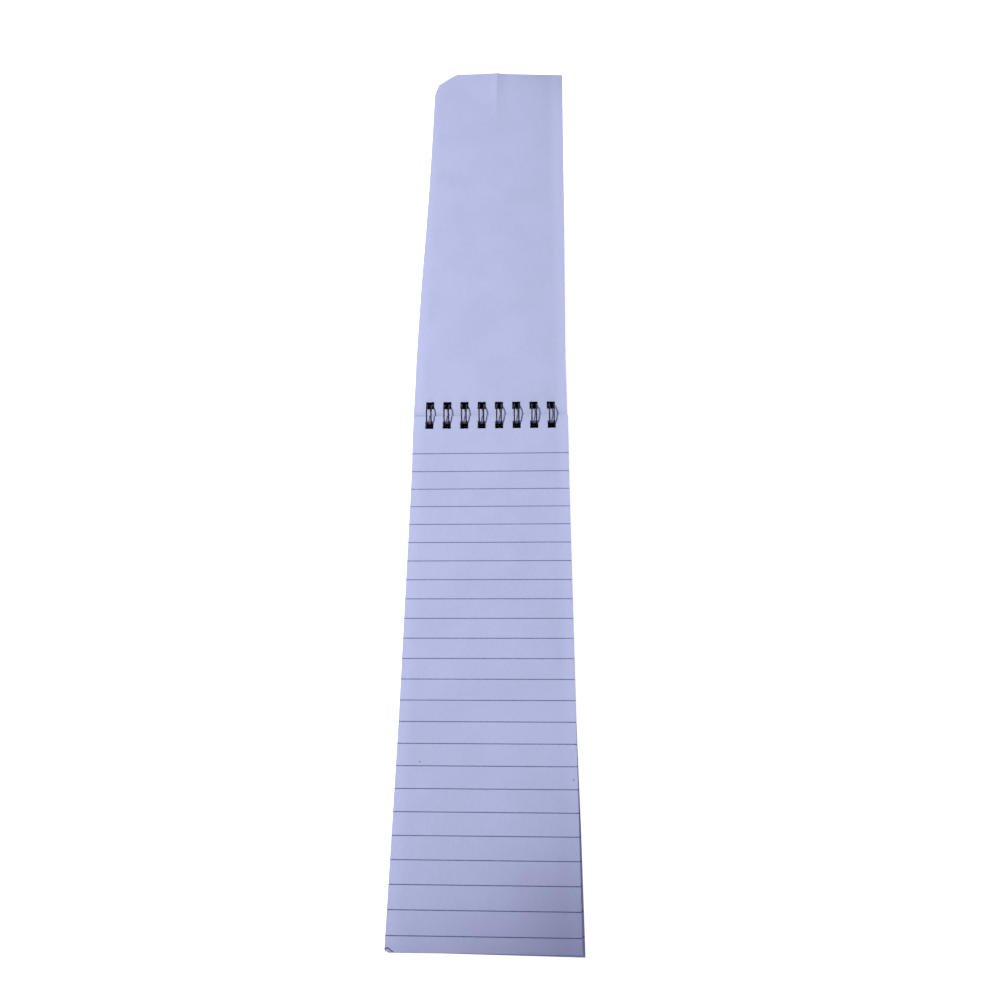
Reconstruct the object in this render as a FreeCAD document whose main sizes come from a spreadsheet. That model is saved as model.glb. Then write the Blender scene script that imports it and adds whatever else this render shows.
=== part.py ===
"""Top-bound twin-loop notepad, opened flat with its front cover turned over.

Frame: +Z up, +Y towards the turned-over cover, X along the binding.
The origin is the middle of the flat underside of the back cover, which lies on the table.
Each piece is drawn about the axis of the wire loops (Y = 0 there) and then moved into place.
"""
import FreeCAD, Part
import math
import os

import Sketcher

V = FreeCAD.Vector

# Driving dimensions, in millimetres and degrees. "depth" is measured from a leaf's bound edge.
DIMENSIONS = [
    ("leaf_width", 75.0, "width of every leaf"),
    ("cover_length", 229.0, "length of both covers"),
    ("page_length", 227.0, "length of the lowest page"),
    ("page_fan", 0.9, "how far the lowest page shows beyond the top one at the near end"),
    ("hole_count", 8, "holes in a leaf, one for each twin loop"),
    ("hole_pitch", 8.467, "spacing of the loops, three to the inch"),
    ("hole_size", 4.0, "side of a square hole"),
    ("hole_margin", 2.9, "left between a hole and the bound edge, on the pages and the back"),
    ("card_margin", 3.5, "left between a hole and the bound edge on the front cover"),
    ("wire_diameter", 0.65, "thickness of the binding wire"),
    ("loop_radius", 5.225, "centre line of a loop"),
    ("loop_gap", 2.2, "spacing of the two wires of a twin loop"),
    ("wire_slide", 0.3, "how far the wire lies to the right in the slack of the holes"),
    ("spine_bend", 0.8, "bend between a loop and the spine"),
    ("spine_angle", 199.4, "where a loop leaves the spine, seen along X"),
    ("tip_angle", 230.0, "where the two wires of a loop close in a hairpin"),
    ("wire_end", 1.4, "straight end left at each end of the wire"),
    ("axis_height", 5.55, "height of the loops' axis above the table"),
    ("board_thickness", 0.5, "back cover"),
    ("board_overhang", 0.45, "back cover past the loops' axis"),
    ("board_near_height", 2.05, "underside of the back cover where the wire holds it"),
    ("stack_thickness", 3.2, "all the pages together"),
    ("stack_edge", 0.75, "loops' axis to the bound edge of the pages"),
    ("stack_near_height", 3.65, "underside of the pages where the wire holds them"),
    ("stack_height", 0.6, "underside of the pages where they lie flat"),
    ("rise_start", 2.0, "depth where the lower leaves start to come down from the wire"),
    ("rise_end", 38.0, "depth where the lower leaves lie flat"),
    ("card_thickness", 0.35, "front cover"),
    ("card_edge", 0.05, "loops' axis to the bound edge of the front cover"),
    ("card_near_height", 5.2, "underside of the front cover where the wire holds it"),
    ("card_drop_start", 4.0, "depth where the front cover starts to come down"),
    ("card_drop_end", 172.0, "depth where the front cover touches the table"),
    ("card_curl", 0.8, "rise of the front cover's free end"),
    ("card_skew", 0.4, "turn of the front cover in the slack of its holes, in degrees"),
    ("fold_across", 12.0, "folded corner, along the free end"),
    ("fold_along", 10.0, "folded corner, along the side"),
    ("chip_across", 2.5, "worn corner of the top pages, across"),
    ("chip_along", 4.0, "worn corner of the top pages, along"),
    ("chip_depth", 1.0, "pages worn at that corner"),
    ("beyond", 1.0, "how far a cut reaches past the leaf that it trims"),
]

doc = FreeCAD.newDocument("notepad")
sheet = doc.addObject("Spreadsheet::Sheet", "dims")
for row, (alias, value, note) in enumerate(DIMENSIONS, 1):
    sheet.set("A%d" % row, alias)
    sheet.set("B%d" % row, str(value))
    sheet.set("C%d" % row, note)
    sheet.setAlias("B%d" % row, alias)
doc.recompute()

# Lengths worked out from the sheet, written the way FreeCAD's expressions want them.
WIRE_AXIS_Y = "(dims.rise_end + dims.cover_length) / 2 - dims.board_overhang"
FIRST_HOLE_X = "(dims.hole_count - 1) * dims.hole_pitch / 2"

# Heights below this are on the sketch axis.
FLAT = 1e-9

# Sketcher's number for the centre of an arc
CENTRE = 3


def evaluate(expression):
    """The value of an expression over the sheet."""
    return float(sheet.evalExpression(expression))


# Bodies and sketches

def new_body(name):
    """An empty body, labelled with its node's name."""
    body = doc.addObject("PartDesign::Body", name)
    body.Label = name
    return body


def new_sketch(body, name, role):
    """An empty sketch on one of the body's own reference planes."""
    plane = next(item for item in body.Origin.OriginFeatures if item.Role == role)
    sketch = body.newObject("Sketcher::SketchObject", name)
    sketch.AttachmentSupport = [(plane, "")]
    sketch.MapMode = "FlatFace"
    return sketch


def end_at(sketch, edge, point):
    """Which end of an edge lies at a point: 1 for its start, 2 for its end."""
    return min((1, 2), key=lambda end: sketch.getPoint(edge, end).distanceToPoint(point))


def join(sketch, kind, first, second, point):
    """Coincident or tangent ends of two edges that meet at a point."""
    ends = first, end_at(sketch, first, point), second, end_at(sketch, second, point)
    sketch.addConstraint(Sketcher.Constraint(kind, *ends))


def drive(sketch, kind, edge, point, expression):
    """Hold one end of an edge at a distance from the sketch's origin that follows the sheet."""
    end = end_at(sketch, edge, point)
    value = evaluate(expression)
    if abs(value) < FLAT:
        axis = -2 if kind == "DistanceX" else -1
        sketch.addConstraint(Sketcher.Constraint("PointOnObject", edge, end, axis))
        return
    index = sketch.addConstraint(Sketcher.Constraint(kind, -1, 1, edge, end, value))
    name = "%s%d" % (kind, index)
    sketch.renameConstraint(index, name)
    sketch.setExpression("Constraints." + name, expression)


def polygon(sketch, corners):
    """A closed outline whose corners are pairs of expressions."""
    first = sketch.GeometryCount
    points = [V(evaluate(across), evaluate(along), 0) for across, along in corners]
    for start, end in zip(points, points[1:] + points[:1]):
        sketch.addGeometry(Part.LineSegment(start, end), False)
    for index, point in enumerate(points):
        edge = first + index
        join(sketch, "Coincident", edge, first + (index - 1) % len(points), point)
        drive(sketch, "DistanceX", edge, point, corners[index][0])
        drive(sketch, "DistanceY", edge, point, corners[index][1])


def pad(body, sketch, name, expression, side="Symmetric"):
    """Material along the sketch's normal."""
    feature = body.newObject("PartDesign::Pad", name)
    feature.Profile = sketch
    feature.SideType = side
    feature.setExpression("Length", expression)
    return feature


def pocket(body, sketch, name):
    """A cut right through the leaf, both ways from the sketch."""
    feature = body.newObject("PartDesign::Pocket", name)
    feature.Profile = sketch
    feature.Type = "ThroughAll"
    feature.SideType = "Symmetric"
    return feature


# Leaves

def bow(start, end):
    """Middle of an arc that leaves its start level, and rises or falls to its end."""
    run = end.x - start.x
    rise = end.y - start.y
    radius = (run ** 2 + rise ** 2) / (2 * abs(rise))
    to_middle = math.atan2(abs(rise), abs(run))
    across = math.copysign(radius * math.sin(to_middle), run)
    up = math.copysign(radius * (1 - math.cos(to_middle)), rise)
    return start + V(across, up, 0)


def leaf_side(sketch, points, curled):
    """One long side of a leaf's section: level at the wire, two equal arcs, then its tail.

    The tail is level, or an arc that leaves the foot level and lifts the free end.
    Returns its first and last edge, with the points at their outer ends.
    """
    start, bend, foot, end = [V(evaluate(across), evaluate(up), 0) for across, up in points]
    middle = (bend + foot) / 2
    level = sketch.addGeometry(Part.LineSegment(start, bend), False)
    upper = sketch.addGeometry(Part.Arc(bend, bow(bend, middle), middle), False)
    lower = sketch.addGeometry(Part.Arc(middle, bow(foot, middle), foot), False)
    if curled:
        tail = sketch.addGeometry(Part.Arc(foot, bow(foot, end), end), False)
    else:
        tail = sketch.addGeometry(Part.LineSegment(foot, end), False)
    join(sketch, "Tangent", level, upper, bend)
    join(sketch, "Tangent", upper, lower, middle)
    join(sketch, "Tangent", lower, tail, foot)
    sketch.addConstraint(Sketcher.Constraint("Equal", upper, lower))
    sketch.addConstraint(Sketcher.Constraint("Horizontal", level))
    for edge, point, (across, up) in ((level, start, points[0]), (tail, foot, points[2])):
        drive(sketch, "DistanceX", edge, point, across)
        drive(sketch, "DistanceY", edge, point, up)
    drive(sketch, "DistanceX", level, bend, points[1][0])
    drive(sketch, "DistanceX", tail, end, points[3][0])
    if curled:
        foot_end = end_at(sketch, tail, foot)
        sketch.addConstraint(Sketcher.Constraint("Vertical", tail, CENTRE, tail, foot_end))
        drive(sketch, "DistanceY", tail, end, points[3][1])
    else:
        sketch.addConstraint(Sketcher.Constraint("Horizontal", tail))
    return (level, start), (tail, end)


def side_points(leaf, lift, end_depth):
    """Places along one side of a leaf, as expressions, with lift above its underside."""
    def across(depth):
        return "%s %s (%s)" % (leaf["edge"], leaf["way"], depth)

    near = "%s + %s" % (leaf["near_height"], lift)
    far = "%s + %s" % (leaf["far_height"], lift)
    tip = "%s + %s" % (far, leaf["curl"])
    return [
        (across("0"), near),
        (across(leaf["bend_start"]), near),
        (across(leaf["bend_end"]), far),
        (across(end_depth), tip),
    ]


def leaf_section(body, leaf):
    """The section of a leaf along its length, bound edge to free end."""
    sketch = new_sketch(body, body.Label + "_section", "YZ_Plane")
    curled = leaf["curl"] != "0"
    under = side_points(leaf, "0", leaf["length"])
    over = side_points(leaf, leaf["thickness"], leaf["top_length"])
    under_start, under_end = leaf_side(sketch, under, curled)
    over_start, over_end = leaf_side(sketch, over, curled)
    for (lower, low_point), (upper, high_point) in ((under_start, over_start), (under_end, over_end)):
        edge = sketch.addGeometry(Part.LineSegment(low_point, high_point), False)
        join(sketch, "Coincident", lower, edge, low_point)
        join(sketch, "Coincident", upper, edge, high_point)
    return sketch


def punch_holes(body, leaf):
    """The row of square binding holes."""
    def across(depth):
        return "%s %s (%s)" % (leaf["edge"], leaf["way"], depth)

    near = across(leaf["margin"])
    far = across(leaf["margin"] + " + dims.hole_size")
    left = "-(%s) - dims.hole_size / 2" % FIRST_HOLE_X
    right = "-(%s) + dims.hole_size / 2" % FIRST_HOLE_X
    sketch = new_sketch(body, body.Label + "_hole", "XY_Plane")
    polygon(sketch, [(left, near), (right, near), (right, far), (left, far)])
    hole = pocket(body, sketch, body.Label + "_first_hole")
    doc.recompute()
    row = body.newObject("PartDesign::LinearPattern", body.Label + "_holes")
    row.Originals = [hole]
    row.Direction = (sketch, ["H_Axis"])
    row.setExpression("Length", "(dims.hole_count - 1) * dims.hole_pitch")
    row.setExpression("Occurrences", "dims.hole_count")
    body.Tip = row


def leaf_body(leaf):
    """A plain leaf: its section made as wide as the notepad."""
    body = new_body(leaf["name"])
    pad(body, leaf_section(body, leaf), leaf["name"] + "_sheet", "dims.leaf_width")
    return body


BACK_COVER = {
    "name": "back_cover",
    "edge": "dims.board_overhang",
    "way": "-",
    "bend_start": "dims.rise_start",
    "bend_end": "dims.rise_end",
    "length": "dims.cover_length",
    "top_length": "dims.cover_length",
    "margin": "dims.hole_margin",
    "near_height": "dims.board_near_height",
    "far_height": "0",
    "thickness": "dims.board_thickness",
    "curl": "0",
}

PAGE_BLOCK = {
    "name": "page_block",
    "edge": "-dims.stack_edge",
    "way": "-",
    "bend_start": "dims.rise_start",
    "bend_end": "dims.rise_end",
    "length": "dims.page_length",
    "top_length": "dims.page_length - dims.page_fan",
    "margin": "dims.hole_margin",
    "near_height": "dims.stack_near_height",
    "far_height": "dims.stack_height",
    "thickness": "dims.stack_thickness",
    "curl": "0",
}

FRONT_COVER = {
    "name": "front_cover",
    "edge": "dims.card_edge",
    "way": "+",
    "bend_start": "dims.card_drop_start",
    "bend_end": "dims.card_drop_end",
    "length": "dims.cover_length",
    "top_length": "dims.cover_length",
    "margin": "dims.card_margin",
    "near_height": "dims.card_near_height",
    "far_height": "0",
    "thickness": "dims.card_thickness",
    "curl": "dims.card_curl",
}


def make_back_cover():
    """The stiff board under the pages."""
    body = leaf_body(BACK_COVER)
    punch_holes(body, BACK_COVER)
    return body


def make_page_block():
    """All the pages as one block, with the worn corner of the top ones."""
    body = leaf_body(PAGE_BLOCK)
    left = "-dims.leaf_width / 2"
    near = "-dims.stack_edge - dims.page_length"
    sketch = new_sketch(body, "worn_corner", "XY_Plane")
    sketch.setExpression(".AttachmentOffset.Base.z", "dims.stack_height + dims.stack_thickness")
    polygon(sketch, [
        (left + " - dims.beyond", near + " - dims.beyond"),
        (left + " + dims.chip_across", near + " - dims.beyond"),
        (left + " + dims.chip_across / 2", near + " + dims.chip_along"),
        (left + " - dims.beyond", near + " + dims.chip_along"),
    ])
    chip = body.newObject("PartDesign::Pocket", "worn_pages")
    chip.Profile = sketch
    chip.setExpression("Length", "dims.chip_depth")
    doc.recompute()
    punch_holes(body, PAGE_BLOCK)
    return body


# The front cover's sides in plan
LEFT = "-dims.leaf_width / 2"
RIGHT = "dims.leaf_width / 2"
FREE = "dims.card_edge + dims.cover_length"


def crease():
    """The ends of the folded corner's crease in plan, on the cover's side and on its free end."""
    return (LEFT, FREE + " - dims.fold_along"), (LEFT + " + dims.fold_across", FREE)


def folded_corner():
    """Where the corner comes to lie under the card: its mirror image in the crease."""
    square = "(dims.fold_across ^ 2 + dims.fold_along ^ 2)"
    return (
        LEFT + " + 2 * dims.fold_across * dims.fold_along ^ 2 / " + square,
        FREE + " - 2 * dims.fold_across ^ 2 * dims.fold_along / " + square,
    )


def make_fold(body):
    """The turned-under corner: a strip below the card, trimmed to a triangle."""
    foot = "dims.card_edge + dims.card_drop_end"
    sink = "dims.card_thickness / 4"
    section = new_sketch(body, "fold_section", "YZ_Plane")
    section.setExpression(".AttachmentOffset.Base.z", "-dims.leaf_width / 2")
    ends = []
    for lift in ("-dims.card_thickness", sink):
        points = (foot, lift), (FREE, lift + " + dims.card_curl")
        start, end = [V(evaluate(across), evaluate(up), 0) for across, up in points]
        edge = section.addGeometry(Part.Arc(start, bow(start, end), end), False)
        for point, (across, up) in zip((start, end), points):
            drive(section, "DistanceX", edge, point, across)
            drive(section, "DistanceY", edge, point, up)
        foot_end = end_at(section, edge, start)
        section.addConstraint(Sketcher.Constraint("Vertical", edge, CENTRE, edge, foot_end))
        ends.append((edge, start, end))
    for index in (1, 2):
        low, high = ends[0][index], ends[1][index]
        edge = section.addGeometry(Part.LineSegment(low, high), False)
        join(section, "Coincident", ends[0][0], edge, low)
        join(section, "Coincident", ends[1][0], edge, high)
    pad(body, section, "fold_strip", "2 * dims.fold_across", "One side")
    doc.recompute()
    trim = new_sketch(body, "fold_trim", "XY_Plane")
    polygon(trim, [
        (LEFT + " - dims.beyond", foot + " - dims.beyond"),
        (RIGHT, foot + " - dims.beyond"),
        (RIGHT, FREE + " + dims.beyond"),
        (LEFT + " - dims.beyond", FREE + " + dims.beyond"),
    ])
    polygon(trim, [*crease(), folded_corner()])
    pocket(body, trim, "fold_outline")
    doc.recompute()


def make_front_cover():
    """The thin card turned over the wire, with one corner folded under."""
    body = new_body(FRONT_COVER["name"])
    make_fold(body)
    pad(body, leaf_section(body, FRONT_COVER), "card", "dims.leaf_width")
    doc.recompute()
    lost = new_sketch(body, "lost_corner", "XY_Plane")
    polygon(lost, [*crease(), (LEFT, FREE)])
    pocket(body, lost, "corner_cut")
    punch_holes(body, FRONT_COVER)
    return body


# Wire

def loop_place(angle):
    """A point on the loops' centre line, seen along X."""
    turn = math.radians(angle)
    radius = evaluate("dims.loop_radius")
    height = evaluate("dims.axis_height")
    return V(0, radius * math.cos(turn), height + radius * math.sin(turn))


def loop_heading(angle):
    """Direction along a loop as it leaves the spine, up past the pages."""
    turn = math.radians(angle)
    return V(0, math.sin(turn), -math.cos(turn))


def leg(offset, upwards):
    """One wire of a loop, from the spine round to the hairpin, or back."""
    start = evaluate("dims.spine_angle")
    end = evaluate("dims.tip_angle") - 360
    angles = [start, (start + end) / 2, end]
    if not upwards:
        angles.reverse()
    return Part.Arc(*[loop_place(angle) + offset for angle in angles])


def root(offset, side):
    """The bend between the spine and one wire of a loop; side is -1 before it and 1 after it."""
    bend = evaluate("dims.spine_bend")
    angle = evaluate("dims.spine_angle")
    heading = loop_heading(angle)
    on_loop = loop_place(angle) + offset
    centre = on_loop + V(side * bend, 0, 0)
    on_spine = centre - heading * bend
    middle = centre - (heading + V(side, 0, 0)) * (bend / math.sqrt(2))
    points = [on_spine, middle, on_loop]
    if side > 0:
        points.reverse()
    return Part.Arc(*points)


def hairpin(offset):
    """The closed end of a twin loop."""
    half = evaluate("dims.loop_gap") / 2
    angle = evaluate("dims.tip_angle")
    base = loop_place(angle) + offset
    tip = base + loop_heading(angle) * half
    return Part.Arc(base - V(half, 0, 0), tip, base + V(half, 0, 0))


def twin_loop(offset):
    """The curves of one twin loop with its bends, in order along the wire."""
    half = V(evaluate("dims.loop_gap") / 2, 0, 0)
    left = offset - half
    right = offset + half
    return [root(left, -1), leg(left, True), hairpin(offset), leg(right, False), root(right, 1)]


def wire_path():
    """The centre line of the whole wire: straight spine runs and tangent arcs."""
    stub = V(evaluate("dims.wire_end"), 0, 0)
    first = evaluate("dims.wire_slide") - evaluate(FIRST_HOLE_X)
    pitch = evaluate("dims.hole_pitch")
    curves = []
    for index in range(int(evaluate("dims.hole_count"))):
        loop = twin_loop(V(first + index * pitch, 0, 0))
        before = curves[-1].EndPoint if curves else loop[0].StartPoint - stub
        curves.append(Part.LineSegment(before, loop[0].StartPoint))
        curves.extend(loop)
    curves.append(Part.LineSegment(curves[-1].EndPoint, curves[-1].EndPoint + stub))
    return Part.Wire([curve.toShape() for curve in curves])


def make_binding_wire():
    """One round wire swept along the spine and all its loops."""
    path = doc.addObject("Part::Feature", "wire_path")
    path.Shape = wire_path()
    start = path.Shape.OrderedVertexes[0].Point
    section = doc.addObject("Part::Circle", "wire_section")
    section.setExpression("Radius", "dims.wire_diameter / 2")
    section.Placement = FreeCAD.Placement(start, FreeCAD.Rotation(V(0, 0, 1), V(1, 0, 0)))
    wire = doc.addObject("Part::Sweep", "binding_wire")
    wire.Label = "binding_wire"
    wire.Sections = [section]
    wire.Spine = (path, ["Edge%d" % (index + 1) for index in range(len(path.Shape.Edges))])
    wire.Solid = True
    wire.Frenet = True
    doc.recompute()
    area = math.pi * evaluate("dims.wire_diameter") ** 2 / 4
    print("wire length %.1f, volume %.2f, section times length %.2f"
          % (path.Shape.Length, wire.Shape.Volume, area * path.Shape.Length))
    return wire


def set_in_place(piece, skew="0"):
    """Move a piece from the loops' axis to its place in the frame."""
    piece.setExpression(".Placement.Base.y", WIRE_AXIS_Y)
    turn = FreeCAD.Rotation(V(0, 0, 1), -evaluate(skew))
    piece.Placement = FreeCAD.Placement(V(0, evaluate(WIRE_AXIS_Y), 0), turn)


def check_document(pieces):
    """Stop if any object failed or any piece is not one sound solid."""
    for item in doc.Objects:
        if {"Invalid", "Error"} & set(item.State):
            raise RuntimeError("%s did not recompute" % item.Name)
    for piece in pieces:
        shape = piece.Shape
        if shape.isNull() or not shape.isValid():
            raise RuntimeError("%s has no valid shape" % piece.Label)
        box = shape.BoundBox
        print("%-13s %d solid, %9.2f mm3, X %.2f..%.2f Y %.2f..%.2f Z %.2f..%.2f" % (
            piece.Label, len(shape.Solids), shape.Volume,
            box.XMin, box.XMax, box.YMin, box.YMax, box.ZMin, box.ZMax))


def main():
    """Build every piece, check them and write one STEP file for each."""
    pieces = [make_back_cover(), make_page_block(), make_front_cover(), make_binding_wire()]
    for piece in pieces:
        set_in_place(piece, "dims.card_skew" if piece.Label == "front_cover" else "0")
    doc.recompute()
    check_document(pieces)
    os.makedirs("parts", exist_ok=True)
    for piece in pieces:
        piece.Shape.exportStep("parts/%s.step" % piece.Label)


main()
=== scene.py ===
"""Looks of the top-bound twin-loop notepad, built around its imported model. Metres, +Z up."""
import math
import random

import bpy
import numpy as np
from mathutils import Matrix, Vector


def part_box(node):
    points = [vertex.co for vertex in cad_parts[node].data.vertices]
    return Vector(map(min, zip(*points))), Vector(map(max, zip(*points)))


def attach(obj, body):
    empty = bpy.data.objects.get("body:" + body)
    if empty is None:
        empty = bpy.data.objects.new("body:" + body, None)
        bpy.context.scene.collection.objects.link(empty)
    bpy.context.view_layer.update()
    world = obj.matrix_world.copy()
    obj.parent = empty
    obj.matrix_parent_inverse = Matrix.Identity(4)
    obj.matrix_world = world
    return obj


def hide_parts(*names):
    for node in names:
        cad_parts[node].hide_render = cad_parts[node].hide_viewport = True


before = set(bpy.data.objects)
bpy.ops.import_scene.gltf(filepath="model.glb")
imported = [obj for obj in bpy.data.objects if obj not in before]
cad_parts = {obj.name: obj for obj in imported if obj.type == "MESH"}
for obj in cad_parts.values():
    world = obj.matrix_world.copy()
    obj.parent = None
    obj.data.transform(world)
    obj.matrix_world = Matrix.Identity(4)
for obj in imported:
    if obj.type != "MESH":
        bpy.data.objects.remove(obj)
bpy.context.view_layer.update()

MM = 0.001

# Places read from the frame
WIRE_LOW, WIRE_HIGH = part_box("binding_wire")
PAGES_LOW, PAGES_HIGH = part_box("page_block")
AXIS_Y = (WIRE_LOW.y + WIRE_HIGH.y) / 2
HALF_WIDTH = PAGES_HIGH.x

# Holes
HOLES = 8
HOLE_PITCH = 8.467 * MM
HOLE_SIZE = 4.0 * MM
HOLE_MARGIN = 2.9 * MM
CARD_MARGIN = 3.5 * MM

# Pages, with depths measured from their bound edge
SHEETS = 40
SHEET_FILL = 0.82
SHEET_SLACK_X = (-0.07 * MM, 0.03 * MM)
SHEET_SLACK_Y = (0.0, 0.12 * MM)
SHEET_SLACK_TURN = (-0.0002, 0.0002)
PAGE_TOP = AXIS_Y - 0.55 * MM
PAGE_LENGTH = PAGES_HIGH.y - PAGES_LOW.y
PAGE_SHIFT = 0.3 * MM
PAGE_TURN = 0.0008
PAGE_FLARE = 0.75 * MM
PAGE_FLARE_START = 145.0 * MM
STACK_FLAT = PAGES_LOW.z
STACK_THICKNESS = 3.2 * MM
STACK_RISE = PAGES_HIGH.z - STACK_FLAT - STACK_THICKNESS
RISE_START = 2.0 * MM
RISE_END = 38.0 * MM
END_LIFT = 0.9 * MM
END_LIFT_START = 60.0 * MM
FIRST_RULE = PAGE_TOP - 19.43 * MM
RULE_PITCH = 8.784 * MM
RULES = 24
RULE_WIDTH = 0.36 * MM
RULE_WOBBLE = 0.06 * MM
SPECKS = ((-27.6 * MM, 158.4 * MM), (36.0 * MM, 165.0 * MM))
SPECK_RADIUS = 0.45 * MM

# How far the lowest sheet has slid out to the right, by depth, and past the near end
SLIPPED_PART = 0.6
SLIP_DEPTHS = (0.0, 150 * MM, 172 * MM, PAGE_LENGTH)
SLIP_RIGHT = (0.2 * MM, 0.35 * MM, 0.95 * MM, 1.35 * MM)
SLIP_NEAR = 1.15 * MM
SLIP_NEAR_SLANT = 0.45 * MM

# Worn near left corner: its edge, from the side of the sheet and from the near end, how far it
# reaches up the sheet, and how high in the stack it starts and is complete
WORN_SIDE = (0.0, 0.6 * MM, 2.46 * MM)
WORN_END = (1.0 * MM, 1.21 * MM, 0.0)
WORN_REACH = 8.0 * MM
WORN_PART = (0.72, 0.84)
# Width of the dark line along the worn corner's edge
CORNER_LINE_WIDTH = 0.55 * MM

# Colours, as sRGB values from 0 to 255
PAPER_COLOUR = (190, 196, 234)
COVER_COLOUR = (195, 201, 240)
# Cut edges and hole walls, painted darker than the paper as painted shade
CUT_SHADE_COLOUR = (176, 180, 206)
RULE_COLOUR = (58, 62, 112)
# Dark colour of the line along the worn corner and of the two specks
MARK_COLOUR = (52, 48, 70)
BOARD_DARK = (168, 163, 166)
BOARD_LIGHT = (188, 183, 184)
FLECK_COLOUR = (120, 112, 112)
WIRE_COLOUR = (4, 4, 7)
RUBBED_COLOUR = (20, 20, 26)
TABLE_COLOUR = (231, 231, 231)
# Painted shade on the table under the notepad
UNDER_SHADE_COLOUR = (28, 28, 40)

# Front cover
CARD_EDGE = 0.05 * MM
CARD_LENGTH = 229.0 * MM
CARD_THICKNESS = 0.35 * MM
CARD_NEAR = 5.2 * MM
CARD_DROP_START = 4.0 * MM
CARD_DROP_END = 172.0 * MM
CARD_CURL = 0.8 * MM
CARD_SKEW = 0.00628
CARD_DRIFT = 0.00549
CARD_LIFT = 2.1 * MM
CARD_LIFT_START = 60.0 * MM
CARD_LIFT_LOSS = 1.8 * MM
CREASE_X = -1.0 * MM
CREASE_LIFT = 0.55 * MM
CREASE_LEFT = 8.0 * MM
CREASE_RIGHT = 2.8 * MM
CREASE_LENGTH = 42.0 * MM
FOLD_ACROSS = 13.1 * MM
FOLD_ALONG = 8.3 * MM
FOLD_RADIUS = 0.35 * MM
CORNER_PULL = 2.3 * MM
CORNER_DROP = 1.2 * MM
CARD_WIDENING = 0.008
CARD_SWAY = 0.4 * MM

# Table and surround
TABLE_SIZE = 6.0
TABLE_GAP = 0.02 * MM
TABLE_GLOW = 0.865
SHADE_REACH = 30.0 * MM
SURROUND_COLOUR = (1, 1, 1.3, 1)
SURROUND_LEVEL = 0.126

# Lamps
KEY_POWER = 14.3
KEY_COLOUR = (1, 1, 0.95)
KEY_ANGLE = 52.9
KEY_BLEND = 0.324
KEY_SOFTNESS = 0.03
KEY_PLACE = (-0.219, 0.230, 0.650)
KEY_TARGET = (-0.1566, 0.172, 0)
FILL_POWER = 4.3
FILL_COLOUR = (1, 1, 1.15)
FILL_SIZE = 0.6
FILL_PLACE = (0.05, -1.2, 0.7)
FILL_TARGET = (0, 0.1, 0)

# Camera
LENS = 26.108
SENSOR_WIDTH = 36
SHIFT = (-0.0005, 0.0005)
CAMERA_PLACE = (0.01736, -0.02748, 0.32288)
CAMERA_FORWARD = (-0.0355, 0.34416, -0.93824)
CAMERA_UPWARD = (0.00667, 0.93889, 0.34414)

random.seed(7)


# Shapes

def ease(depth, start, end):
    """0 at start, 1 at end, along two equal parabolic arcs."""
    part = np.clip((depth - start) / (end - start), 0, 1)
    return np.where(part < 0.5, 2 * part ** 2, 1 - 2 * (1 - part) ** 2)


def smooth(value, low, high):
    """Smooth step from 0 at low to 1 at high."""
    part = np.clip((value - low) / (high - low), 0, 1)
    return part * part * (3 - 2 * part)


def hole_spans():
    """Low and high X of every hole."""
    first = -(HOLES - 1) * HOLE_PITCH / 2
    centres = [first + index * HOLE_PITCH for index in range(HOLES)]
    return [(centre - HOLE_SIZE / 2, centre + HOLE_SIZE / 2) for centre in centres]


def spaced(stops, steps):
    """Grid lines that pass through every stop, with about the given step between."""
    lines = []
    for low, high, step in zip(stops, stops[1:], steps):
        count = max(1, round((high - low) / step))
        lines.extend(np.linspace(low, high, count, endpoint=False))
    lines.append(stops[-1])
    return np.array(lines)


def across_lines(step):
    """Grid lines across a leaf that follow the sides of the holes."""
    stops = [-HALF_WIDTH]
    for low, high in hole_spans():
        stops += [low, high]
    stops.append(HALF_WIDTH)
    return spaced(stops, [step] * (len(stops) - 1))


def joined(first, second):
    """Two sets of grid lines as one."""
    return np.unique(np.round(np.concatenate([first, second]), 7))


def leaf_mesh(across, depth, place, thickness, way, margin=HOLE_MARGIN, facing=None):
    """A thin closed leaf with square holes, as vertices and quads.

    place(x, d) gives the leaf's middle surface over a grid of places across it and depths from
    its bound edge, and facing(x, d) its normal, which is otherwise worked out from the surface.
    way is 1 where depth runs along +Y, and -1 where it runs along -Y. margin is the depth where
    the holes start.
    """
    grid_x, grid_d = np.meshgrid(across, depth, indexing="ij")
    middle = place(grid_x, grid_d)
    if facing:
        normal = facing(grid_x, grid_d)
    else:
        normal = np.cross(np.gradient(middle, axis=0), np.gradient(middle, axis=1)) * way
        normal /= np.linalg.norm(normal, axis=2, keepdims=True)
    columns, rows = grid_x.shape
    cell_x = (grid_x[:-1, :-1] + grid_x[1:, 1:]) / 2
    cell_d = (grid_d[:-1, :-1] + grid_d[1:, 1:]) / 2
    in_row = (cell_d > margin) & (cell_d < margin + HOLE_SIZE)
    solid = np.ones_like(cell_x, bool)
    for low, high in hole_spans():
        solid &= ~(in_row & (cell_x > low) & (cell_x < high))
    top = (middle + normal * thickness / 2).reshape(-1, 3)
    bottom = (middle - normal * thickness / 2).reshape(-1, 3)
    below = columns * rows
    index = np.arange(below).reshape(columns, rows)
    a, b = index[:-1, :-1], index[1:, :-1]
    c, d = index[1:, 1:], index[:-1, 1:]
    faces = [np.stack([a, b, c, d], -1)[solid], np.stack([d, c, b, a], -1)[solid] + below]
    padded = np.pad(solid, 1)
    sides = ((-1, 0, d, a), (1, 0, b, c), (0, -1, a, b), (0, 1, c, d))
    for shift_x, shift_d, first, second in sides:
        beside = padded[1 + shift_x:columns + shift_x, 1 + shift_d:rows + shift_d]
        wall = solid & ~beside
        p, q = first[wall], second[wall]
        faces.append(np.stack([q, p, p + below, q + below], -1))
    quads = np.concatenate(faces)
    if way < 0:
        quads = quads[:, ::-1]
    return np.concatenate([top, bottom]), quads


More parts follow.
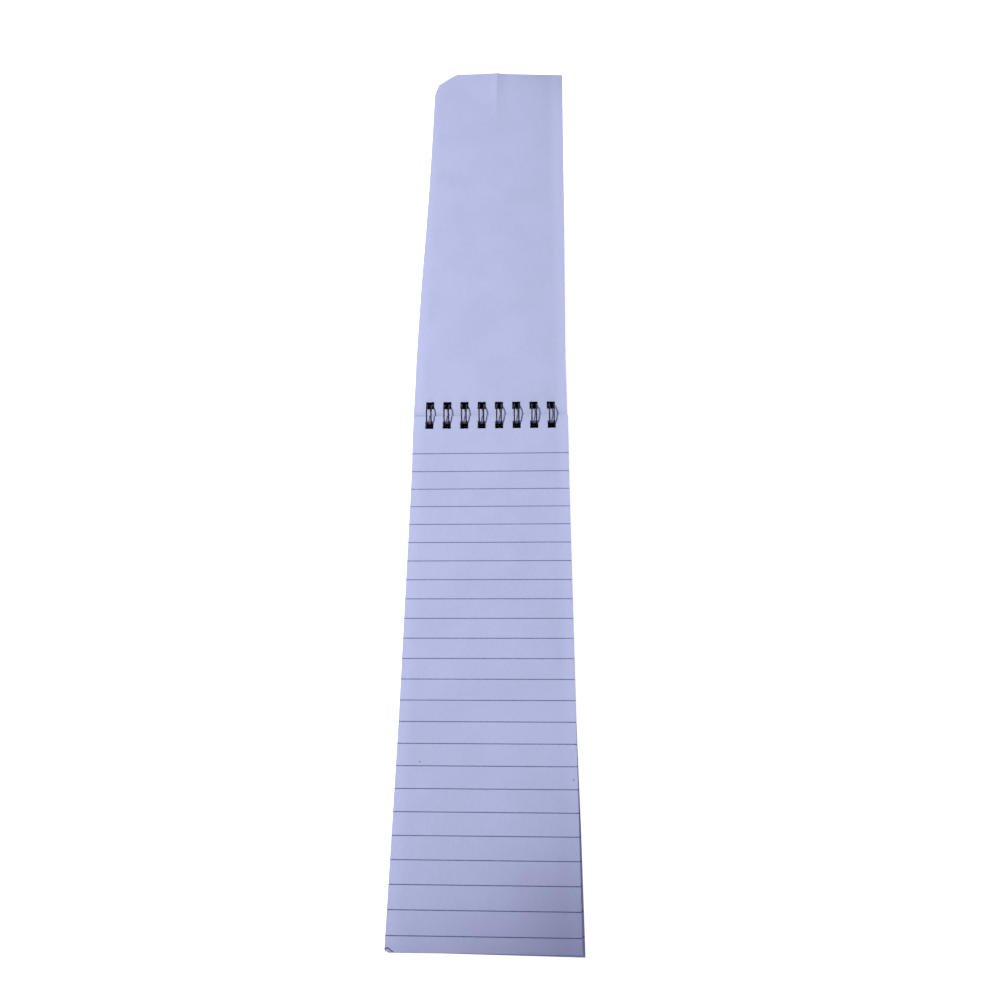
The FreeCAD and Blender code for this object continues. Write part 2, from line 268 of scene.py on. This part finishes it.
def make_object(name, parts, material, flat_angle=40):
    """One mesh object from a list of (vertices, quads), smooth up to an angle."""
    vertices, quads, start = [], [], 0
    for points, faces in parts:
        used = np.unique(faces)
        renumber = np.zeros(len(points), int)
        renumber[used] = np.arange(len(used))
        vertices.append(points[used])
        quads.append(renumber[faces] + start)
        start += len(used)
    mesh = bpy.data.meshes.new(name)
    mesh.from_pydata(np.concatenate(vertices).tolist(), [], np.concatenate(quads).tolist())
    mesh.materials.append(material)
    mesh.shade_smooth()
    mesh.set_sharp_from_angle(angle=math.radians(flat_angle))
    thing = bpy.data.objects.new(name, mesh)
    bpy.context.scene.collection.objects.link(thing)
    return thing


# Pages

def to_end(depth, start):
    """0 up to a depth in the pad and then evenly up to 1 at its near end."""
    return np.clip((depth - start) / (PAGE_LENGTH - start), 0, 1)


def page_place(part, slack):
    """The middle surface of the sheet a given part of the way up, moved a little in its slack."""
    slack_x, slack_y, slack_turn = slack
    slip = max(0.0, 1 - part / SLIPPED_PART) ** 0.7
    turn = PAGE_TURN + slack_turn

    def place(x, depth):
        flare = PAGE_FLARE * to_end(depth, PAGE_FLARE_START) * np.clip(-x / HALF_WIDTH, 0, 1)
        right = slip * np.interp(depth, SLIP_DEPTHS, SLIP_RIGHT)
        near = slip * (SLIP_NEAR + SLIP_NEAR_SLANT * x / HALF_WIDTH) * depth / PAGE_LENGTH
        rise = STACK_RISE * (1 - ease(depth, RISE_START, RISE_END))
        lift = END_LIFT * part ** 1.5 * to_end(depth, END_LIFT_START) ** 2
        return np.stack([
            x + PAGE_SHIFT + slack_x - depth * turn - flare + right,
            PAGE_TOP - depth - slack_y - x * turn - near,
            STACK_FLAT + STACK_THICKNESS * part + rise + lift,
        ], -1)

    return place


def worn_corner(place, amount):
    """The same surface with its near left corner worn away along a small S-curve."""
    def worn(x, depth):
        from_end = PAGE_LENGTH - depth
        loss = amount * np.interp(x + HALF_WIDTH, WORN_SIDE, WORN_END)
        return place(x, depth - loss * (1 - smooth(from_end, 0, WORN_REACH)))

    return worn


def sheet_slack():
    """How far a sheet sits off its place, across and along, and how far it is turned."""
    return tuple(random.uniform(*span) for span in (SHEET_SLACK_X, SHEET_SLACK_Y, SHEET_SLACK_TURN))


def make_pages(material):
    """Every sheet of the pad, as thin separate leaves in one piece, and the top one finer."""
    paper = STACK_THICKNESS / SHEETS * SHEET_FILL
    corner = spaced([-HALF_WIDTH, -HALF_WIDTH + 3 * MM], [0.35 * MM])
    coarse_x = joined(corner, across_lines(6 * MM))
    coarse_d = spaced(
        [0, HOLE_MARGIN, HOLE_MARGIN + HOLE_SIZE, RISE_END, PAGE_LENGTH - 5 * MM, PAGE_LENGTH],
        [3 * MM, 2 * MM, 2 * MM, 21 * MM, 0.5 * MM])
    fine_x = joined(corner, across_lines(1.4 * MM))
    fine_d = spaced(
        [0, HOLE_MARGIN, HOLE_MARGIN + HOLE_SIZE, RISE_END, PAGE_LENGTH - 6 * MM, PAGE_LENGTH],
        [1 * MM, 1 * MM, 1 * MM, 2.5 * MM, 0.4 * MM])
    stack = []
    for level in range(SHEETS):
        part = (level + 0.5) / SHEETS
        is_top = level == SHEETS - 1
        slack = (0, 0, 0) if is_top else sheet_slack()
        place = worn_corner(page_place(part, slack), smooth(part, *WORN_PART))
        if is_top:
            top = leaf_mesh(fine_x, fine_d, place, paper, -1)
        else:
            stack.append(leaf_mesh(coarse_x, coarse_d, place, paper, -1))
    pieces = [make_object("page_stack", stack, material), make_object("top_page", [top], material)]
    for piece in pieces:
        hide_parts("page_block")
        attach(piece, "bound_pages")


# Front cover

def corner_part(x, depth):
    """1 at the far left corner of the card, and 0 away from it."""
    from_side, from_end = x + HALF_WIDTH, CARD_LENGTH - depth
    return (1 - smooth(from_end, 3 * MM, 17 * MM)) * (1 - smooth(from_side, 0, 9 * MM))


def past_crease(x, depth):
    """A point's pulled-in x, how far it is past the folded corner's crease, and the way out."""
    size = math.hypot(FOLD_ACROSS, FOLD_ALONG)
    out_x, out_d = -FOLD_ALONG / size, FOLD_ACROSS / size
    pulled = x + CORNER_PULL * corner_part(x, depth)
    past = (pulled + HALF_WIDTH) * out_x + (depth - CARD_LENGTH + FOLD_ALONG) * out_d
    return pulled, past, out_x, out_d


def fold_under(x, depth):
    """Turn the far left corner of a flat card under along its crease.

    Returns the new places in the card's plane and how far each point drops below it.
    """
    pulled, past, out_x, out_d = past_crease(x, depth)
    half_turn = math.pi * FOLD_RADIUS
    in_bend = past < half_turn
    bent = np.where(in_bend, FOLD_RADIUS * np.sin(past / FOLD_RADIUS), half_turn - past)
    drop = np.where(in_bend, FOLD_RADIUS * (1 - np.cos(past / FOLD_RADIUS)), 2 * FOLD_RADIUS)
    move = np.where(past > 0, bent - past, 0)
    return pulled + move * out_x, depth + move * out_d, np.where(past > 0, drop, 0)


def card_facing(x, depth):
    """The normal of the card, which turns over through the crease of its folded corner."""
    _, past, out_x, out_d = past_crease(x, depth)
    turn = np.clip(past / FOLD_RADIUS, 0, math.pi)
    return np.stack([np.sin(turn) * out_x, np.sin(turn) * out_d, np.cos(turn)], -1)


def card_height(x, depth):
    """Underside of the front cover above the table."""
    height = CARD_NEAR * (1 - ease(depth, CARD_DROP_START, CARD_DROP_END))
    curl = np.clip((depth - CARD_DROP_END) / (CARD_LENGTH - CARD_DROP_END), 0, None) ** 2
    reach = np.clip((depth - CARD_LIFT_START) / (CARD_LENGTH - CARD_LIFT_START), 0, None) ** 2
    lift = CARD_LIFT - CARD_LIFT_LOSS * np.clip((x - CREASE_X) / (HALF_WIDTH - CREASE_X), 0, 1)
    width = np.where(x < CREASE_X, CREASE_LEFT, CREASE_RIGHT)
    ridge = np.exp(-np.abs(x - CREASE_X) / width)
    ridge = ridge * smooth(depth, CARD_LENGTH - CREASE_LENGTH, CARD_LENGTH)
    return height + CARD_CURL * curl + lift * reach + CREASE_LIFT * ridge


def card_place(x, depth):
    """The middle surface of the front cover."""
    flat_x, flat_d, drop = fold_under(x, depth)
    sag = drop + CORNER_DROP * corner_part(flat_x, flat_d)
    height = card_height(flat_x, flat_d) + CARD_THICKNESS / 2 - sag
    widening = 1 + CARD_WIDENING * smooth(flat_d, 15 * MM, 95 * MM)
    sway = CARD_SWAY * smooth(flat_d, 5 * MM, 35 * MM) * (1 - smooth(flat_d, 60 * MM, 150 * MM))
    drift = flat_x * widening + flat_d * CARD_DRIFT - sway
    reach = CARD_EDGE + flat_d
    turned_x = drift * math.cos(CARD_SKEW) + reach * math.sin(CARD_SKEW)
    turned_y = reach * math.cos(CARD_SKEW) - flat_x * math.sin(CARD_SKEW)
    return np.stack([turned_x, AXIS_Y + turned_y, height], -1)


def make_front_cover(material):
    """The thin card turned over the wire, with its corner folded under."""
    folded = spaced([-HALF_WIDTH, -HALF_WIDTH + 15 * MM], [0.2 * MM])
    across = joined(folded, across_lines(1.5 * MM))
    depth = spaced(
        [0, CARD_MARGIN, CARD_MARGIN + HOLE_SIZE, CARD_LENGTH - 17 * MM, CARD_LENGTH],
        [1 * MM, 1 * MM, 2.5 * MM, 0.2 * MM])
    mesh = leaf_mesh(across, depth, card_place, CARD_THICKNESS, 1, CARD_MARGIN, card_facing)
    card = make_object("cover_card", [mesh], material)
    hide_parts("front_cover")
    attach(card, "front_cover")


# Materials

def node_material(name):
    """An empty node material with its output."""
    material = bpy.data.materials.new(name)
    material.use_nodes = True
    material.node_tree.nodes.clear()
    output = material.node_tree.nodes.new("ShaderNodeOutputMaterial")
    return material, material.node_tree, output


def add(tree, kind, inputs=None, **settings):
    """A shader node, with its settings and its inputs set or linked."""
    node = tree.nodes.new("ShaderNode" + kind)
    for key, value in settings.items():
        setattr(node, key, value)
    for key, value in (inputs or {}).items():
        if isinstance(value, bpy.types.NodeSocket):
            tree.links.new(value, node.inputs[key])
        else:
            node.inputs[key].default_value = value
    return node


def maths(tree, operation, *values):
    """The result of a Math node."""
    node = add(tree, "Math", dict(enumerate(values)), operation=operation)
    return node.outputs[0]


def blend_colour(tree, factor, first, second, kind="MIX"):
    """The result of mixing two colours."""
    node = add(tree, "Mix", data_type="RGBA", blend_type=kind)
    for socket, value in ((0, factor), (6, first), (7, second)):
        if isinstance(value, bpy.types.NodeSocket):
            tree.links.new(value, node.inputs[socket])
        else:
            node.inputs[socket].default_value = value
    return node.outputs[2]


def ramp(tree, value, low, high, start=0.0, end=1.0):
    """A value moved from one range to another, smoothly and held at both ends."""
    inputs = {"Value": value, "From Min": low, "From Max": high, "To Min": start, "To Max": end}
    return add(tree, "MapRange", inputs, interpolation_type="SMOOTHSTEP").outputs[0]


def noise(tree, place, scale, detail=2.0, stretch=(1, 1, 1)):
    """Noise over the object, with a scale in cycles per metre."""
    moved = add(tree, "Mapping", {"Vector": place, "Scale": stretch}).outputs[0]
    inputs = {"Vector": moved, "Scale": scale, "Detail": detail}
    return add(tree, "TexNoise", inputs).outputs["Fac"]


def shade(colour):
    """A linear colour from its sRGB values, 0 to 255."""
    channels = [value / 255 for value in colour]
    linear = [c / 12.92 if c <= 0.04045 else ((c + 0.055) / 1.055) ** 2.4 for c in channels]
    return (*linear, 1.0)


def scaled(colour, factor):
    """A linear colour made lighter or darker."""
    return (*(channel * factor for channel in colour[:3]), 1)


def near_point(tree, parts, x, y, radius):
    """1 at a point of the paper, and 0 beyond a radius around it."""
    away_x = maths(tree, "ABSOLUTE", maths(tree, "SUBTRACT", parts.outputs["X"], x))
    away_y = maths(tree, "ABSOLUTE", maths(tree, "SUBTRACT", parts.outputs["Y"], y))
    square_x = maths(tree, "MULTIPLY", away_x, away_x)
    square_y = maths(tree, "MULTIPLY", away_y, away_y)
    away = maths(tree, "SQRT", maths(tree, "ADD", square_x, square_y))
    return ramp(tree, away, radius * 0.5, radius, 1, 0)


def paper_material(name, colour, ruled):
    """Uncoated paper: faint mottle, short fibres, painted light that makes it lighter towards its
    sides, cut edges painted darker as painted shade, and ruled lines if asked.
    """
    material, tree, output = node_material(name)
    coordinates = add(tree, "TexCoord")
    place = coordinates.outputs["Object"]
    cloud = noise(tree, place, 45, 3)
    fibre = noise(tree, place, 1500, 3, (1, 0.35, 1))
    grain = noise(tree, place, 5200, 2)
    mottle = ramp(tree, cloud, 0.3, 0.7)
    base = blend_colour(tree, mottle, scaled(colour, 0.975), scaled(colour, 1.02))
    # Painted light: the paper is made lighter towards its sides, where more light falls
    across = maths(tree, "ABSOLUTE", add(tree, "SeparateXYZ", {"Vector": place}).outputs["X"])
    side_light = ramp(tree, across, HALF_WIDTH - 7 * MM, HALF_WIDTH - 1 * MM)
    base = blend_colour(tree, side_light, base, scaled(colour, 1.07))
    fibrous = blend_colour(tree, 1.0, base, (0.88, 0.88, 0.92, 1), "MULTIPLY")
    base = blend_colour(tree, ramp(tree, fibre, 0.35, 0.65, 0, 0.30), base, fibrous)
    if ruled:
        base = page_marks(tree, place, ruled_colour(tree, place, base))
    else:
        # Painted light and shade along the cover's crease
        base = painted_crease_light(tree, place, base)
    # Painted shade: faces that look sideways, the cut edges and hole walls, are made darker
    facing = add(tree, "SeparateXYZ", {"Vector": coordinates.outputs["Normal"]}).outputs["Z"]
    cut_shade = ramp(tree, maths(tree, "ABSOLUTE", facing), 0.4, 0.6, 1, 0)
    base = blend_colour(tree, cut_shade, base, shade(CUT_SHADE_COLOUR))
    bump = add(tree, "Bump", {"Height": fibre, "Strength": 0.25, "Distance": 0.04 * MM})
    fine_inputs = {"Height": grain, "Strength": 0.2, "Distance": 0.02 * MM, "Normal": bump.outputs[0]}
    fine = add(tree, "Bump", fine_inputs)
    surface = add(tree, "BsdfPrincipled", {
        "Base Color": base,
        "Roughness": ramp(tree, fibre, 0.3, 0.7, 0.68, 0.82),
        "Specular IOR Level": 0.25,
        "Normal": fine.outputs[0],
    })
    tree.links.new(surface.outputs[0], output.inputs[0])
    return material


def ruled_colour(tree, place, paper):
    """Thin dark blue rules across the page, printed to its edges and turned with it."""
    parts = add(tree, "SeparateXYZ", {"Vector": place})
    wobble = maths(tree, "SUBTRACT", noise(tree, place, 900, 2), 0.5)
    level = maths(tree, "MULTIPLY_ADD", parts.outputs["X"], PAGE_TURN, parts.outputs["Y"])
    level = maths(tree, "MULTIPLY_ADD", wobble, RULE_WOBBLE, level)
    below = maths(tree, "SUBTRACT", FIRST_RULE, level)
    count = maths(tree, "DIVIDE", below, RULE_PITCH)
    nearest = maths(tree, "ROUND", count)
    away = maths(tree, "ABSOLUTE", maths(tree, "SUBTRACT", count, nearest))
    half = RULE_WIDTH / 2 / RULE_PITCH
    line = ramp(tree, away, half * 0.7, half * 1.3, 1, 0)
    from_first = maths(tree, "GREATER_THAN", nearest, -0.5)
    to_last = maths(tree, "LESS_THAN", nearest, RULES - 0.5)
    inside = maths(tree, "MULTIPLY", from_first, to_last)
    ink = ramp(tree, noise(tree, place, 2600, 3), 0.3, 0.7, 0.72, 0.95)
    amount = maths(tree, "MULTIPLY", maths(tree, "MULTIPLY", line, inside), ink)
    return blend_colour(tree, amount, paper, shade(RULE_COLOUR))


def page_marks(tree, place, paper):
    """A dark line along the edge of the worn corner, and two specks."""
    parts = add(tree, "SeparateXYZ", {"Vector": place})
    side = maths(tree, "ADD", parts.outputs["X"], HALF_WIDTH)
    end = maths(tree, "SUBTRACT", parts.outputs["Y"], PAGE_TOP - PAGE_LENGTH)
    first = (WORN_END[1] - WORN_END[0]) / (WORN_SIDE[1] - WORN_SIDE[0])
    second = (WORN_END[2] - WORN_END[1]) / (WORN_SIDE[2] - WORN_SIDE[1])
    steep = maths(tree, "MULTIPLY_ADD", side, second, WORN_END[1] - second * WORN_SIDE[1])
    edge = maths(tree, "MINIMUM", maths(tree, "MULTIPLY_ADD", side, first, WORN_END[0]), steep)
    above = maths(tree, "SUBTRACT", maths(tree, "SUBTRACT", end, edge), CORNER_LINE_WIDTH / 2)
    away = maths(tree, "ABSOLUTE", above)
    line = ramp(tree, away, CORNER_LINE_WIDTH * 0.45, CORNER_LINE_WIDTH * 0.75, 0.75, 0)
    corner = maths(tree, "LESS_THAN", side, WORN_SIDE[2] + 0.6 * MM)
    marked = blend_colour(tree, maths(tree, "MULTIPLY", line, corner), paper, shade(MARK_COLOUR))
    for x, depth in SPECKS:
        dot = near_point(tree, parts, x, PAGE_TOP - depth, SPECK_RADIUS)
        marked = blend_colour(tree, maths(tree, "MULTIPLY", dot, 0.6), marked, shade(MARK_COLOUR))
    return marked


def painted_crease_light(tree, place, card):
    """Painted light and shade for the soft crease at the free end: lighter on its left, and darker on
    its right.
    """
    parts = add(tree, "SeparateXYZ", {"Vector": place})
    depth = maths(tree, "SUBTRACT", parts.outputs["Y"], AXIS_Y)
    past = maths(tree, "MULTIPLY_ADD", depth, -CARD_DRIFT - CARD_SKEW, parts.outputs["X"])
    past = maths(tree, "SUBTRACT", past, CREASE_X)
    strength = ramp(tree, depth, CARD_LENGTH - CREASE_LENGTH, CARD_LENGTH)
    is_right = ramp(tree, past, -0.3 * MM, 0.3 * MM)
    left = maths(tree, "MULTIPLY", ramp(tree, past, -7 * MM, 0), maths(tree, "SUBTRACT", 1, is_right))
    right = maths(tree, "MULTIPLY", ramp(tree, past, 0, 8 * MM, 1, 0), is_right)
    left = maths(tree, "MULTIPLY", left, strength)
    right = maths(tree, "MULTIPLY", right, strength)
    tone = blend_colour(tree, left, (0.94, 0.94, 0.94, 1), (1, 1, 1, 1))
    tone = blend_colour(tree, right, tone, (0.86, 0.86, 0.87, 1))
    return blend_colour(tree, 1.0, card, tone, "MULTIPLY")


def board_material():
    """Grey-beige chipboard with flecks."""
    material, tree, output = node_material("chipboard")
    place = add(tree, "TexCoord").outputs["Object"]
    fleck = noise(tree, place, 1400, 4)
    cloud = noise(tree, place, 60, 3)
    base = blend_colour(tree, ramp(tree, cloud, 0.3, 0.7), shade(BOARD_DARK), shade(BOARD_LIGHT))
    base = blend_colour(tree, ramp(tree, fleck, 0.55, 0.75, 0, 0.5), base, shade(FLECK_COLOUR))
    bump = add(tree, "Bump", {"Height": fleck, "Strength": 0.4, "Distance": 0.05 * MM})
    surface = add(tree, "BsdfPrincipled", {
        "Base Color": base,
        "Roughness": ramp(tree, fleck, 0.3, 0.7, 0.75, 0.9),
        "Specular IOR Level": 0.2,
        "Normal": bump.outputs[0],
    })
    tree.links.new(surface.outputs[0], output.inputs[0])
    return material


def wire_material():
    """Glossy black coating on drawn wire, with faint streaks and rubbed patches."""
    material, tree, output = node_material("black_wire")
    place = add(tree, "TexCoord").outputs["Object"]
    streak = noise(tree, place, 2200, 3, (1, 0.25, 0.25))
    rubbed = ramp(tree, noise(tree, place, 420, 3), 0.52, 0.72)
    base = blend_colour(tree, rubbed, shade(WIRE_COLOUR), shade(RUBBED_COLOUR))
    bump = add(tree, "Bump", {"Height": streak, "Strength": 0.12, "Distance": 0.03 * MM})
    surface = add(tree, "BsdfPrincipled", {
        "Base Color": base,
        "Metallic": 0.0,
        "Roughness": ramp(tree, streak, 0.3, 0.7, 0.14, 0.26),
        "Specular IOR Level": 0.18,
        "Normal": bump.outputs[0],
    })
    tree.links.new(surface.outputs[0], output.inputs[0])
    return material


def seen_ray(tree):
    """1 where the camera, or a mirror or glass, sees a surface, and 0 where it only lights."""
    path = add(tree, "LightPath").outputs
    mirrored = maths(tree, "MAXIMUM", path["Is Glossy Ray"], path["Is Transmission Ray"])
    return maths(tree, "MAXIMUM", path["Is Camera Ray"], mirrored)


def floor_material():
    """A pale table that shows as white, with the shadow, and painted shade where ambient occlusion
    finds it under the notepad.
    """
    material, tree, output = node_material("pale_table")
    open_sky = add(tree, "AmbientOcclusion", {"Distance": SHADE_REACH}, samples=16).outputs["AO"]
    # Painted shade: where ambient occlusion shows the table is under the notepad, it is painted dark
    # and its glow taken away
    unshaded = ramp(tree, open_sky, 0.3, 0.5, 0.0, 1.0)
    tone = blend_colour(tree, unshaded, shade(UNDER_SHADE_COLOUR), shade(TABLE_COLOUR))
    diffuse = add(tree, "BsdfDiffuse", {"Color": tone})
    strength = maths(tree, "MULTIPLY", unshaded, maths(tree, "MULTIPLY", seen_ray(tree), TABLE_GLOW))
    glow = add(tree, "Emission", {"Color": (1, 1, 1, 1), "Strength": strength})
    both = add(tree, "AddShader", {0: diffuse.outputs[0], 1: glow.outputs[0]})
    tree.links.new(both.outputs[0], output.inputs[0])
    return material


# Setting

def make_floor():
    """The table, as a wide plain sheet just under the notepad."""
    bpy.ops.mesh.primitive_plane_add(size=TABLE_SIZE, location=(0, 0, -TABLE_GAP))
    floor = bpy.context.object
    floor.name = "table"
    floor.data.materials.append(floor_material())


def make_surround():
    """An even soft surround, which the camera and mirrors see as white."""
    world = bpy.data.worlds.new("surround")
    bpy.context.scene.world = world
    world.use_nodes = True
    tree = world.node_tree
    tree.nodes.clear()
    output = tree.nodes.new("ShaderNodeOutputWorld")
    soft = add(tree, "Background", {"Color": SURROUND_COLOUR, "Strength": SURROUND_LEVEL})
    white = add(tree, "Background", {"Color": (1, 1, 1, 1), "Strength": 1.0})
    shown = add(tree, "MixShader", {0: seen_ray(tree), 1: soft.outputs[0], 2: white.outputs[0]})
    tree.links.new(shown.outputs[0], output.inputs[0])


def make_lamp(name, kind, power, colour, place, target):
    """A lamp at a place and turned to a target, and its data for more settings."""
    data = bpy.data.lights.new(name, kind)
    data.energy = power
    data.color = colour
    lamp = bpy.data.objects.new(name, data)
    bpy.context.scene.collection.objects.link(lamp)
    lamp.location = place
    lamp.rotation_euler = (Vector(target) - Vector(place)).to_track_quat("-Z", "Y").to_euler()
    return data


def make_lamps():
    """A soft-edged key high on the left and a soft fill from the front."""
    key = make_lamp("key", "SPOT", KEY_POWER, KEY_COLOUR, KEY_PLACE, KEY_TARGET)
    key.spot_size = math.radians(KEY_ANGLE)
    key.spot_blend = KEY_BLEND
    key.shadow_soft_size = KEY_SOFTNESS
    fill = make_lamp("fill", "AREA", FILL_POWER, FILL_COLOUR, FILL_PLACE, FILL_TARGET)
    fill.size = FILL_SIZE


def make_camera():
    """A camera above the pages, looking down and away along the notepad."""
    data = bpy.data.cameras.new("view")
    data.lens = LENS
    data.sensor_width = SENSOR_WIDTH
    data.shift_x, data.shift_y = SHIFT
    camera = bpy.data.objects.new("view", data)
    bpy.context.scene.collection.objects.link(camera)
    forward = Vector(CAMERA_FORWARD).normalized()
    upward = Vector(CAMERA_UPWARD)
    upward = (upward - forward * upward.dot(forward)).normalized()
    right = forward.cross(upward)
    turn = Matrix((right, upward, -forward)).transposed().to_4x4()
    camera.matrix_world = Matrix.Translation(CAMERA_PLACE) @ turn
    bpy.context.scene.camera = camera


def main():
    """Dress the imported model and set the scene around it."""
    make_camera()
    pages = paper_material("ruled_paper", shade(PAPER_COLOUR), True)
    card = paper_material("cover_paper", shade(COVER_COLOUR), False)
    make_pages(pages)
    make_front_cover(card)
    for node, material in (("back_cover", board_material()), ("binding_wire", wire_material())):
        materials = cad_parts[node].data.materials
        materials.clear()
        materials.append(material)
    make_floor()
    make_surround()
    make_lamps()
    bpy.context.scene.view_settings.view_transform = "Standard"


main()
